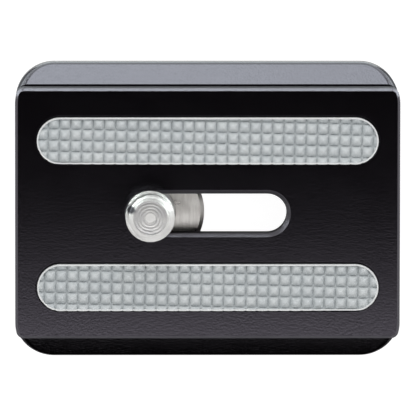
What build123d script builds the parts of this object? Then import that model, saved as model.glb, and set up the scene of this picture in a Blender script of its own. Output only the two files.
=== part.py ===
from build123d import *
import os
from math import ceil, hypot, radians, tan

# Tripod quick release plate: a black anodised dovetail plate that stays on the camera.
# Two strips of pyramid-faced rubber grip the camera's base, and a captive 1/4 inch screw
# slides along a slot between them. Under the plate the screw's head, its washer and a
# folding D-shaped ring sit in a long pocket, clear of the surface the plate stands on.
#
# Millimetres. The origin is the centre of the base face, +X is along the dovetail,
# +Y is towards the rear pad, and +Z is up, towards the camera.

# Dovetail plate
plate_length = 50.0
base_width = 38.6
top_width = 32.6
base_edge_height = 2.0
flank_angle = 45.0
flank_edge_radius = 1.2
outline_radius = 5.0
top_corner_radius = 1.0
top_edge_chamfer = 0.35
base_edge_chamfer = 0.4
root_groove_radius = 0.22
root_lip_radius = 0.15

# Slot for the camera screw, and the pocket under it
slot_length = 20.6
slot_width = 5.15
slot_chamfer = 0.5
slot_floor = 3.2
pocket_side_gap = 0.7
head_recess = 0.9
pocket_mouth_chamfer = 0.3

# Camera screw, 1/4 inch by 20 threads per inch
thread_diameter = 6.35
thread_pitch = 1.27
thread_length = 5.5
tip_flat_diameter = 4.5
tip_chamfer_length = 0.8
thread_runout = 0.6
neck_side_gap = 0.175
end_play = 0.8
flange_diameter = 14.1
flange_thickness = 1.3
flange_chamfer = 0.25
boss_diameter = 7.0
boss_chamfer = 0.3
coin_slot_width = 1.4
coin_slot_depth = 0.9
coin_slot_roof = 0.35
centre_mark_diameter = 1.4
centre_mark_depth = 0.1
screw_end_gap = 0.4

# Washer between the flange and the slot's floor
washer_diameter = 14.2
washer_thickness = 0.8
washer_bore_gap = 0.15
washer_chamfer_width = 0.5
washer_chamfer_height = 0.35

# D-shaped ring that folds flat against the flange
ring_wire_diameter = 1.4
ring_wire_sides = 12
ring_flange_gap = 0.1
ring_edge_inset = 0.15
ring_bend_radius = 1.2
ring_pin_length = 1.2
ring_pin_gap = 0.05

# Grip pads, cut from a moulded sheet of small pyramids that runs slightly askew
pad_end_distance = 2.75
pad_width = 6.25
pad_spacing = 19.1
pad_base_thickness = 0.85
pad_pocket_gap = 0.1
pyramid_pitch = 1.458
pyramid_height = 0.45
pyramid_flat = 0.34
pad_recess = 0.8
rear_grid_angle = -1.2
front_grid_angle = -1.1
rear_grid_offset = (0.397, -0.878)
front_grid_offset = (-0.223, -0.08)

# Safety stop screws, M4 set screws turned in flush in opposite corners of the base
stop_diameter = 4.0
stop_length = 4.5
stop_recess = 0.3
stop_key_size = 2.0
stop_key_depth = 1.8
stop_end_chamfer = 0.4
stop_end_distance = 5.0
stop_side_distance = 6.3

# Heights of the head, upwards from the coin slot, which set the plate's thickness
ring_hole_radius = ring_wire_diameter / 2 + ring_pin_gap
boss_bottom = head_recess
ring_z = boss_bottom + coin_slot_depth + coin_slot_roof + ring_hole_radius
flange_bottom = ring_z + ring_wire_diameter / 2 + ring_flange_gap
flange_top = flange_bottom + flange_thickness
pocket_ceiling = flange_top + washer_thickness
plate_thickness = pocket_ceiling + slot_floor

# Places that follow from the sizes above
flank_run = (base_width - top_width) / 2
flank_height = flank_run * tan(radians(flank_angle))
flank_top = base_edge_height + flank_height
groove_reach = top_width / 2 + root_groove_radius - 0.001
slot_end_x = (slot_length - slot_width) / 2
pocket_width = washer_diameter + 2 * pocket_side_gap
pocket_length = 2 * slot_end_x + pocket_width
neck_diameter = slot_width - 2 * neck_side_gap
screw_x = -(slot_length / 2 - neck_diameter / 2 - screw_end_gap)
thread_start = plate_thickness + end_play
thread_end = thread_start + thread_length
ring_radius = (flange_diameter - ring_wire_diameter) / 2 - ring_edge_inset
pad_length = plate_length - 2 * pad_end_distance
pad_floor = plate_thickness - pad_recess
pad_top = pad_floor + pad_base_thickness + pyramid_height
stop_x = plate_length / 2 - stop_end_distance
stop_y = base_width / 2 - stop_side_distance

screw_axis = Axis((screw_x, 0, 0), (0, 0, 1))
os.makedirs("parts", exist_ok=True)


def save(piece, name):
    """Labels a finished piece and writes it as parts/name.step."""
    piece.part.label = name
    export_step(piece.part, f"parts/{name}.step")


# Plate body
with BuildPart() as plate_body:
    # Dovetail bar, extruded along X
    with BuildSketch(Plane.YZ):
        Rectangle(base_width, base_edge_height, align=(Align.CENTER, Align.MIN))
        with Locations((0, base_edge_height)):
            Trapezoid(base_width, flank_height, flank_angle, align=(Align.CENTER, Align.MIN))
    extrude(amount=plate_length / 2, both=True)
    # Milled outline with large corner radii, rounded over where it meets the flanks
    with BuildSketch():
        RectangleRounded(plate_length, base_width, outline_radius)
    extrude(amount=plate_thickness, mode=Mode.INTERSECT)
    flanks = faces().filter_by(GeomType.PLANE).filter_by(lambda face: 0.1 < face.normal_at().Z < 0.9)
    outline_walls = faces().filter_by(lambda face: abs(face.normal_at().Z) < 0.01)
    flank_edges = [e for flank in flanks for e in flank.edges() if e in outline_walls.edges()]
    fillet([e for e in flank_edges if e.center().Z < flank_top - 0.01], flank_edge_radius)
    # Upper slab, inside the same outline, its corners rounded by offsetting in and back out
    with BuildSketch(Plane.XY.offset(flank_top)):
        RectangleRounded(plate_length, base_width, outline_radius)
        Rectangle(plate_length, top_width, mode=Mode.INTERSECT)
        offset(amount=-top_corner_radius, kind=Kind.INTERSECTION, mode=Mode.REPLACE)
        offset(amount=top_corner_radius, kind=Kind.ARC, mode=Mode.REPLACE)
    extrude(amount=plate_thickness - flank_top)
    top_rim = faces().sort_by(Axis.Z)[-1].outer_wire().edges()
    chamfer(top_rim, top_edge_chamfer)
    base_rim = faces().sort_by(Axis.Z)[0].outer_wire().edges()
    chamfer(base_rim, base_edge_chamfer)
    # Root groove where each flank meets the slab, with a rounded lip on the flank
    with BuildSketch(Plane.YZ):
        for side in (1, -1):
            with Locations((side * top_width / 2, flank_top)):
                Polygon((0, 0), (side * flank_run, -flank_height), (side * flank_run, 0), align=None)
                Circle(root_groove_radius)
        groove_lips = vertices().filter_by(lambda v: top_width / 2 < abs(v.X) < groove_reach)
        fillet(groove_lips.filter_by(lambda v: v.Y < flank_top - 0.01), root_lip_radius)
    extrude(amount=plate_length / 2, both=True, mode=Mode.SUBTRACT)
    # Pocket for the screw's head
    with BuildSketch():
        SlotOverall(pocket_length, pocket_width)
    extrude(amount=pocket_ceiling, mode=Mode.SUBTRACT)
    pocket_mouth = faces().sort_by(Axis.Z)[0].inner_wires().edges()
    chamfer(pocket_mouth, pocket_mouth_chamfer)
    # Slot for the screw's neck
    with BuildSketch(Plane.XY.offset(plate_thickness)):
        SlotOverall(slot_length, slot_width)
    extrude(amount=-plate_thickness, mode=Mode.SUBTRACT)
    slot_rim = faces().sort_by(Axis.Z)[-1].inner_wires().edges()
    chamfer(slot_rim, slot_chamfer)
    # Tapped entry at one end of the slot, where the thread passes through: its crests
    # follow the slot's wall, and its roots are rings one pitch apart
    entry = Plane((-slot_end_x, 0, pocket_ceiling), x_dir=(1, 0, 0), z_dir=(0, -1, 0))
    thread_half_width = thread_pitch / 2 - 0.1
    with BuildSketch(entry):
        for turn in range(int((slot_floor - slot_chamfer) / thread_pitch)):
            root_z = (turn + 0.5) * thread_pitch
            with BuildLine():
                Polyline(
                    (0, root_z - thread_half_width),
                    (slot_width / 2, root_z - thread_half_width),
                    (thread_diameter / 2, root_z),
                    (slot_width / 2, root_z + thread_half_width),
                    (0, root_z + thread_half_width),
                    close=True,
                )
            make_face()
    revolve(axis=Axis((-slot_end_x, 0, 0), (0, 0, 1)), mode=Mode.SUBTRACT)
    # Shallow seats for the two pads
    with BuildSketch(Plane.XY.offset(plate_thickness)):
        with GridLocations(0, pad_spacing, 1, 2):
            SlotOverall(pad_length + 2 * pad_pocket_gap, pad_width + 2 * pad_pocket_gap)
    extrude(amount=-pad_recess, mode=Mode.SUBTRACT)
    # Tapped holes for the safety stop screws, in opposite corners of the base
    with Locations(Plane.XY.rotated((180, 0, 0))):
        with Locations((stop_x, stop_y), (-stop_x, -stop_y)):
            CounterSinkHole(
                stop_diameter / 2,
                stop_diameter / 2 + stop_end_chamfer,
                depth=stop_length + stop_recess,
                counter_sink_angle=90,
            )
save(plate_body, "plate_body")

# Grip pads
pads = {
    "rear_grip_pad": (1, rear_grid_angle, rear_grid_offset),
    "front_grip_pad": (-1, front_grid_angle, front_grid_offset),
}
groove_width = pyramid_pitch - pyramid_flat
for pad_name, (side, grid_angle, grid_offset) in pads.items():
    pad_y = side * pad_spacing / 2
    grid_centre = (grid_offset[0] + pyramid_pitch / 2, pad_y + grid_offset[1] + pyramid_pitch / 2)
    grid = Plane((*grid_centre, pad_top)).rotated((0, 0, grid_angle))
    groove_section = [(-groove_width / 2, 0), (groove_width / 2, 0), (0, -pyramid_height)]
    reach = hypot(pad_length, pad_width) / 2 + 2 * pyramid_pitch
    columns = 2 * ceil(reach / pyramid_pitch) + 1
    rows = 2 * ceil(pad_width / pyramid_pitch) + 1
    with BuildPart() as grip_pad:
        with BuildSketch(Plane.XY.offset(pad_floor)):
            with Locations((0, pad_y)):
                SlotOverall(pad_length, pad_width)
        extrude(amount=pad_top - pad_floor)
        # Grooves across the strip, then along it
        with BuildSketch(Plane(grid.origin, x_dir=grid.x_dir, z_dir=-grid.y_dir)):
            with GridLocations(pyramid_pitch, 0, columns, 1):
                Polygon(*groove_section, align=None)
        extrude(amount=2 * pad_width, both=True, mode=Mode.SUBTRACT)
        with BuildSketch(Plane(grid.origin, x_dir=grid.y_dir, z_dir=grid.x_dir)):
            with GridLocations(pyramid_pitch, 0, rows, 1):
                Polygon(*groove_section, align=None)
        extrude(amount=reach, both=True, mode=Mode.SUBTRACT)
    save(grip_pad, pad_name)

# Camera screw, turned in one piece: thread, neck, flange and slotted boss
with BuildPart() as camera_screw:
    with BuildSketch(Plane.XZ):
        with BuildLine():
            Polyline(
                (screw_x, boss_bottom),
                (screw_x + boss_diameter / 2 - boss_chamfer, boss_bottom),
                (screw_x + boss_diameter / 2, boss_bottom + boss_chamfer),
                (screw_x + boss_diameter / 2, flange_bottom),
                (screw_x + flange_diameter / 2 - flange_chamfer, flange_bottom),
                (screw_x + flange_diameter / 2, flange_bottom + flange_chamfer),
                (screw_x + flange_diameter / 2, flange_top - flange_chamfer),
                (screw_x + flange_diameter / 2 - flange_chamfer, flange_top),
                (screw_x + neck_diameter / 2, flange_top),
                (screw_x + neck_diameter / 2, thread_start),
                (screw_x + thread_diameter / 2, thread_start + thread_runout),
                (screw_x + thread_diameter / 2, thread_end - tip_chamfer_length),
                (screw_x + tip_flat_diameter / 2, thread_end),
                (screw_x + centre_mark_diameter / 2, thread_end),
                (screw_x + centre_mark_diameter / 2, thread_end - centre_mark_depth),
                (screw_x, thread_end - centre_mark_depth),
                close=True,
            )
        make_face()
    revolve(axis=screw_axis)
    # Coin slot across the boss
    with Locations((screw_x, 0, boss_bottom)):
        Box(
            boss_diameter + 1,
            coin_slot_width,
            coin_slot_depth,
            align=(Align.CENTER, Align.CENTER, Align.MIN),
            mode=Mode.SUBTRACT,
        )
    # Cross hole that the ring's two pins turn in
    with BuildSketch(Plane.XZ):
        with Locations((screw_x, ring_z)):
            Circle(ring_hole_radius)
    extrude(amount=boss_diameter, both=True, mode=Mode.SUBTRACT)
save(camera_screw, "camera_screw")

# Washer, wide enough inside to pass over the thread
with BuildPart() as screw_washer:
    with BuildSketch(Plane.XY.offset(flange_top)):
        with Locations((screw_x, 0)):
            Circle(washer_diameter / 2)
            Circle(thread_diameter / 2 + washer_bore_gap, mode=Mode.SUBTRACT)
    extrude(amount=washer_thickness)
    washer_face = faces().sort_by(Axis.Z)[-1]
    washer_rim = washer_face.outer_wire().edges()
    chamfer(washer_rim, washer_chamfer_width, washer_chamfer_height, reference=washer_face)
save(screw_washer, "screw_washer")

# D-shaped ring, one bent wire whose ends turn in towards the boss. The wire is drawn
# many-sided rather than round, which keeps its tight bends light.
pin_end = boss_diameter / 2 - ring_pin_length
with BuildPart() as d_ring:
    with BuildLine(Plane((screw_x, 0, ring_z))) as ring_path:
        Line((0, pin_end), (0, ring_radius))
        RadiusArc((0, ring_radius), (0, -ring_radius), ring_radius)
        Line((0, -ring_radius), (0, -pin_end))
        bends = [v for v in vertices() if abs(abs(v.Y) - ring_radius) < 0.01]
        fillet(bends, ring_bend_radius)
    with BuildSketch(Plane(ring_path.line @ 0, z_dir=ring_path.line % 0)):
        RegularPolygon(ring_wire_diameter / 2, ring_wire_sides)
    sweep()
save(d_ring, "d_ring")

# Safety stop screws, seated on the bottoms of their holes
stops = {"right_stop_screw": (stop_x, -stop_y), "left_stop_screw": (-stop_x, stop_y)}
for stop_name, place in stops.items():
    with BuildPart() as stop_screw:
        with BuildSketch(Plane.XY.offset(stop_recess)):
            with Locations(place):
                Circle(stop_diameter / 2)
        extrude(amount=stop_length)
        chamfer(edges().filter_by(GeomType.CIRCLE), stop_end_chamfer)
        with BuildSketch(Plane.XY.offset(stop_recess)):
            with Locations(place):
                RegularPolygon(stop_key_size / 2, 6, major_radius=False)
        extrude(amount=stop_key_depth, mode=Mode.SUBTRACT)
    save(stop_screw, stop_name)
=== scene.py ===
"""Looks of a tripod quick release plate: its finishes, its screw thread, its grip pads and its wire ring.

Metres, in the frame of the plate: the origin is the centre of the base face, +X is along the
dovetail, +Y is towards the rear pad and +Z is up, towards the camera that the plate carries.
"""

import logging
import math
from dataclasses import dataclass, replace
from enum import Enum
from typing import Any

import bmesh
import bpy
from mathutils import Matrix, Vector


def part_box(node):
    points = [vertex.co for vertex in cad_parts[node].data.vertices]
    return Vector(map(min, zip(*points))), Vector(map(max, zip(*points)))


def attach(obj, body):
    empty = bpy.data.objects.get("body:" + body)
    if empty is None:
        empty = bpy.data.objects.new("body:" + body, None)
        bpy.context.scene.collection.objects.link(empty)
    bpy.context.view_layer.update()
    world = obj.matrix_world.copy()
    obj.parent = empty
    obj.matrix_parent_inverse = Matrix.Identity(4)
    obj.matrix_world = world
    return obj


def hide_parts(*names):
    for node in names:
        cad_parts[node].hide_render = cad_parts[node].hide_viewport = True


MM = 0.001
MERGE_DISTANCE = 0.002 * MM
BLACK = (0.0, 0.0, 0.0, 1.0)
WHITE = (1.0, 1.0, 1.0, 1.0)
COOL = (0.89, 1.0, 0.98)

# A Mix node's setting for colours, and its sockets then, by number since the names repeat
COLOURS = {"data_type": "RGBA"}
SHARE, FIRST, SECOND, MIXED = 0, 6, 7, 2

# How far a Wave texture turns in one unit at a scale of 1, in radians
WAVE_TURN = 20.0

log = logging.getLogger("quick_release_plate")
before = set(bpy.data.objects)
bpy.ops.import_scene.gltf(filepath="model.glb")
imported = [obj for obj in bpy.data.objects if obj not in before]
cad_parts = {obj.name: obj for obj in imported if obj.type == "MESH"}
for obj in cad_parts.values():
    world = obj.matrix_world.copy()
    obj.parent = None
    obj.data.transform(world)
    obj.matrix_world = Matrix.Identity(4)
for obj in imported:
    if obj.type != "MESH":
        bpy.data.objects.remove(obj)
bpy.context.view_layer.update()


class Body(Enum):
    """The rigid bodies that pieces ride on."""

    PLATE = "plate"
    WASHER = "washer"
    SCREW = "screw"
    RING = "ring"


class Reach(Enum):
    """What a lamp does: whether it lights matte faces and whether gloss shows it."""

    ALL = (True, True)
    MATTE = (True, False)
    GLOSS = (False, True)


def linear(colour: str) -> tuple[float, float, float, float]:
    """Turns an sRGB hex colour into linear light.

    Args:
        colour: Six hex digits, with or without a leading #.

    Returns:
        Red, green, blue and an alpha of 1.
    """
    digits = colour.lstrip("#")
    parts = [int(digits[i : i + 2], 16) / 255 for i in (0, 2, 4)]
    light = [p / 12.92 if p <= 0.04045 else ((p + 0.055) / 1.055) ** 2.4 for p in parts]
    return (*light, 1.0)


def add_node(
    tree: bpy.types.NodeTree,
    kind: str,
    settings: dict[str, Any] | None = None,
    inputs: dict[str | int, Any] | None = None,
    stops: list[tuple[float, Any]] | None = None,
) -> bpy.types.Node:
    """Adds a shader node with its settings, values and links.

    Args:
        tree: The node tree that gets the node.
        kind: The node's type name.
        settings: Properties of the node.
        inputs: Values or output sockets by input name or number.
        stops: For a colour ramp, its places from 0 to 1, in order, each with a colour.

    Returns:
        The new node.
    """
    node = tree.nodes.new(kind)
    for name, value in (settings or {}).items():
        setattr(node, name, value)
    for name, value in (inputs or {}).items():
        if isinstance(value, bpy.types.NodeSocket):
            tree.links.new(value, node.inputs[name])
        else:
            node.inputs[name].default_value = value
    for number, (place, colour) in enumerate(stops or []):
        elements = node.color_ramp.elements
        element = elements[number] if number < len(elements) else elements.new(place)
        element.position = place
        element.color = colour
    return node


@dataclass(frozen=True)
class Finish:
    """What every finish has.

    Attributes:
        name: The material's name, which says what the real one is.
        colour: Its sRGB colour.
        roughness: Its mean roughness.
    """

    name: str
    colour: str
    roughness: float

    def start(self) -> tuple[bpy.types.Material, bpy.types.NodeTree, bpy.types.Node, bpy.types.NodeSocket]:
        """Makes the material with its even values.

        Returns:
            The material, its tree, its shader node and its Object coordinates.
        """
        material = bpy.data.materials.new(self.name)
        material.use_nodes = True
        tree = material.node_tree
        shader = tree.nodes["Principled BSDF"]
        shader.inputs["Base Color"].default_value = linear(self.colour)
        shader.inputs["Roughness"].default_value = self.roughness
        place = add_node(tree, "ShaderNodeTexCoord").outputs["Object"]
        return material, tree, shader, place


@dataclass(frozen=True)
class AnodisedAluminium(Finish):
    """Milled, bead-blasted aluminium, anodised and dyed black.

    To the eye it is a nearly black skin with a faint purple sheen: satin with a fine grain on level
    faces, smooth on the flanks, which mirror what lies beside the plate, and dull on walls. Its edge
    breaks are painted grey as a highlight.

    Attributes:
        dye_light: The colour where the dye took a little less.
        ior: That of the sealed film, which is below the solid oxide's.
        film_tint: The colour of the film's reflections.
        grain_size: The blasted grain, coarser than the real 0.1 mm so that it shows in the render.
        grain_height: How deep the grain is.
        blotch_size: The size of the dye's uneven areas.
        uneven: How far the roughness goes above and below its mean.
        wall_roughness: The roughness of walls, whose normals' Z is up to wall_level.
        flank_roughness: The roughness of slopes, whose normals' Z is within flank_levels.
        top_level: The Z of a normal from which a face has the mean roughness.
        upright_below: The Z of a normal below which a face counts as the foot's wall.
        foot_roughness: The roughness of the foot's wall, which is smoother.
        foot_height: The top of that wall.
        edge_radius: How round wear has made the sharp edges, which only the shading shows.
        painted_edge_highlight: The grey painted on the edge breaks as a highlight.
        highlight_above: The height above which a slope is an edge break with the painted highlight.
        highlight_levels: Where slopes begin and end to get the painted highlight, by their normals' Z.
    """

    dye_light: str = "#050405"
    ior: float = 1.45
    film_tint: tuple[float, float, float, float] = (0.91, 0.84, 1.0, 1.0)
    grain_size: float = 0.26 * MM
    grain_height: float = 0.015 * MM
    blotch_size: float = 4 * MM
    uneven: float = 0.02
    wall_level: float = 0.4
    wall_roughness: float = 0.95
    flank_levels: tuple[float, float] = (0.6, 0.8)
    flank_roughness: float = 0.1
    top_level: float = 0.95
    upright_below: float = 0.5
    foot_roughness: float = 0.3
    foot_height: float = 2.5 * MM
    edge_radius: float = 0.09 * MM
    painted_edge_highlight: str = "#48474b"
    highlight_above: float = 8.2 * MM
    highlight_levels: tuple[float, float, float, float] = (0.5, 0.6, 0.82, 0.9)

    def build(self) -> bpy.types.Material:
        """Makes the material.

        Returns:
            The material.
        """
        material, tree, shader, place = self.start()
        shader.inputs["IOR"].default_value = self.ior
        shader.inputs["Specular Tint"].default_value = self.film_tint
        blotches = add_node(
            tree, "ShaderNodeTexNoise", inputs={"Vector": place, "Scale": 1 / self.blotch_size, "Detail": 3.0}
        ).outputs["Fac"]
        height = add_node(tree, "ShaderNodeSeparateXYZ", inputs={"Vector": place}).outputs["Z"]
        normal = add_node(tree, "ShaderNodeTexCoord").outputs["Normal"]
        upward = add_node(tree, "ShaderNodeSeparateXYZ", inputs={"Vector": normal}).outputs["Z"]
        level = add_node(tree, "ShaderNodeMath", {"operation": "ABSOLUTE"}, {0: upward}).outputs[0]
        tree.links.new(self.dye(tree, blotches, height, level), shader.inputs["Base Color"])
        tree.links.new(self.gloss(tree, blotches, height, level), shader.inputs["Roughness"])
        tree.links.new(self.grain(tree, place), shader.inputs["Normal"])
        return material

    def dye(
        self,
        tree: bpy.types.NodeTree,
        blotches: bpy.types.NodeSocket,
        height: bpy.types.NodeSocket,
        level: bpy.types.NodeSocket,
    ) -> bpy.types.NodeSocket:
        """Mixes the uneven dye with the grey painted on the edge breaks as a highlight.

        Args:
            tree: The node tree.
            blotches: The pattern of the dye.
            height: The height above the base.
            level: How level the face is, from 0 on a wall to 1.

        Returns:
            The colour.
        """
        black = add_node(
            tree,
            "ShaderNodeValToRGB",
            inputs={"Fac": blotches},
            stops=[(0.3, linear(self.colour)), (0.7, linear(self.dye_light))],
        ).outputs["Color"]
        # The grey mixed in on the high edge breaks is a painted highlight
        raised = add_node(
            tree,
            "ShaderNodeMapRange",
            inputs={"Value": height, "From Min": self.highlight_above, "From Max": self.highlight_above + 0.1 * MM},
        ).outputs["Result"]
        sloped = add_node(
            tree,
            "ShaderNodeValToRGB",
            inputs={"Fac": level},
            stops=list(zip(self.highlight_levels, (BLACK, WHITE, WHITE, BLACK))),
        ).outputs["Color"]
        edge = add_node(tree, "ShaderNodeMath", {"operation": "MULTIPLY"}, {0: sloped, 1: raised}).outputs[0]
        return add_node(
            tree, "ShaderNodeMix", COLOURS, {SHARE: edge, FIRST: black, SECOND: linear(self.painted_edge_highlight)}
        ).outputs[MIXED]

    def gloss(
        self,
        tree: bpy.types.NodeTree,
        blotches: bpy.types.NodeSocket,
        height: bpy.types.NodeSocket,
        level: bpy.types.NodeSocket,
    ) -> bpy.types.NodeSocket:
        """Makes walls dull, slopes smooth and level faces satin, each a little uneven.

        Args:
            tree: The node tree.
            blotches: The pattern of the dye.
            height: The height above the base.
            level: How level the face is, from 0 on a wall to 1.

        Returns:
            The roughness.
        """
        flank_start, flank_end = self.flank_levels
        values = [
            (self.wall_level, self.wall_roughness),
            (flank_start, self.flank_roughness),
            (flank_end, self.flank_roughness),
            (self.top_level, self.roughness),
        ]
        stops = [(place, (value, value, value, 1.0)) for place, value in values]
        by_slope = add_node(tree, "ShaderNodeValToRGB", inputs={"Fac": level}, stops=stops).outputs["Color"]
        below = {"operation": "LESS_THAN"}
        low = add_node(tree, "ShaderNodeMath", below, {0: height, 1: self.foot_height}).outputs[0]
        upright = add_node(tree, "ShaderNodeMath", below, {0: level, 1: self.upright_below}).outputs[0]
        foot = add_node(tree, "ShaderNodeMath", {"operation": "MULTIPLY"}, {0: low, 1: upright}).outputs[0]
        smoother = add_node(
            tree,
            "ShaderNodeMapRange",
            inputs={"Value": foot, "To Min": 0.0, "To Max": self.foot_roughness - self.wall_roughness},
        ).outputs["Result"]
        varied = add_node(
            tree,
            "ShaderNodeMapRange",
            inputs={"Value": blotches, "To Min": -self.uneven, "To Max": self.uneven},
        ).outputs["Result"]
        change = add_node(tree, "ShaderNodeMath", {"operation": "ADD"}, {0: smoother, 1: varied}).outputs[0]
        return add_node(tree, "ShaderNodeMath", {"operation": "ADD"}, {0: by_slope, 1: change}).outputs[0]

    def grain(self, tree: bpy.types.NodeTree, place: bpy.types.NodeSocket) -> bpy.types.NodeSocket:
        """Lays the blasted grain over the worn edges.

        Args:
            tree: The node tree.
            place: The Object coordinates.

        Returns:
            The normal.
        """
        grain = add_node(
            tree, "ShaderNodeTexNoise", inputs={"Vector": place, "Scale": 1 / self.grain_size, "Detail": 2.0}
        )
        worn_edge = add_node(tree, "ShaderNodeBevel", {"samples": 6}, {"Radius": self.edge_radius})
        return add_node(
            tree,
            "ShaderNodeBump",
            inputs={
                "Height": grain.outputs["Fac"],
                "Distance": self.grain_height,
                "Strength": 1.0,
                "Normal": worn_edge.outputs["Normal"],
            },
        ).outputs["Normal"]


@dataclass(frozen=True)
class MouldedRubber(Finish):
    """Light grey rubber from a mould, matte, with a slight greenish cast.

    To the eye it is soft and even, with slow clouds where the mould's skin varies. Painted shade makes
    it a little darker in the valleys.

    Attributes:
        shade: The colour of the darker clouds.
        valley_shade: The colour of the painted shade in the valleys.
        valley_shade_full_height: The height up to which the painted shade is full.
        valley_shade_end_height: The height from which the rubber has no painted shade.
        cloud_size: The size of the clouds.
        skin_size: The skin's texture, coarser than the real 0.05 mm so that it shows in the render.
        skin_height: How deep that texture is.
    """

    shade: str = "#c8cdcf"
    valley_shade: str = "#aeb3b5"
    valley_shade_full_height: float = 8.72 * MM
    valley_shade_end_height: float = 9.0 * MM
    cloud_size: float = 2.6 * MM
    skin_size: float = 0.12 * MM
    skin_height: float = 0.003 * MM

    def build(self) -> bpy.types.Material:
        """Makes the material.

        Returns:
            The material.
        """
        material, tree, shader, place = self.start()
        clouds = add_node(
            tree, "ShaderNodeTexNoise", inputs={"Vector": place, "Scale": 1 / self.cloud_size, "Detail": 2.0}
        ).outputs["Fac"]
        tint = add_node(
            tree,
            "ShaderNodeValToRGB",
            inputs={"Fac": clouds},
            stops=[(0.35, linear(self.shade)), (0.65, linear(self.colour))],
        ).outputs["Color"]
        height = add_node(tree, "ShaderNodeSeparateXYZ", inputs={"Vector": place}).outputs["Z"]
        # Painted shade darkens the rubber in the valleys, fading out between the two heights
        out_of_valley_shade = add_node(
            tree,
            "ShaderNodeMapRange",
            inputs={"Value": height, "From Min": self.valley_shade_full_height, "From Max": self.valley_shade_end_height},
        ).outputs["Result"]
        colour = add_node(
            tree, "ShaderNodeMix", COLOURS, {SHARE: out_of_valley_shade, FIRST: linear(self.valley_shade), SECOND: tint}
        ).outputs[MIXED]
        tree.links.new(colour, shader.inputs["Base Color"])
        skin = add_node(
            tree, "ShaderNodeTexNoise", inputs={"Vector": place, "Scale": 1 / self.skin_size, "Detail": 2.0}
        ).outputs["Fac"]
        bump = add_node(
            tree, "ShaderNodeBump", inputs={"Height": skin, "Distance": self.skin_height, "Strength": 1.0}
        )
        tree.links.new(bump.outputs["Normal"], shader.inputs["Normal"])
        return material


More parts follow.
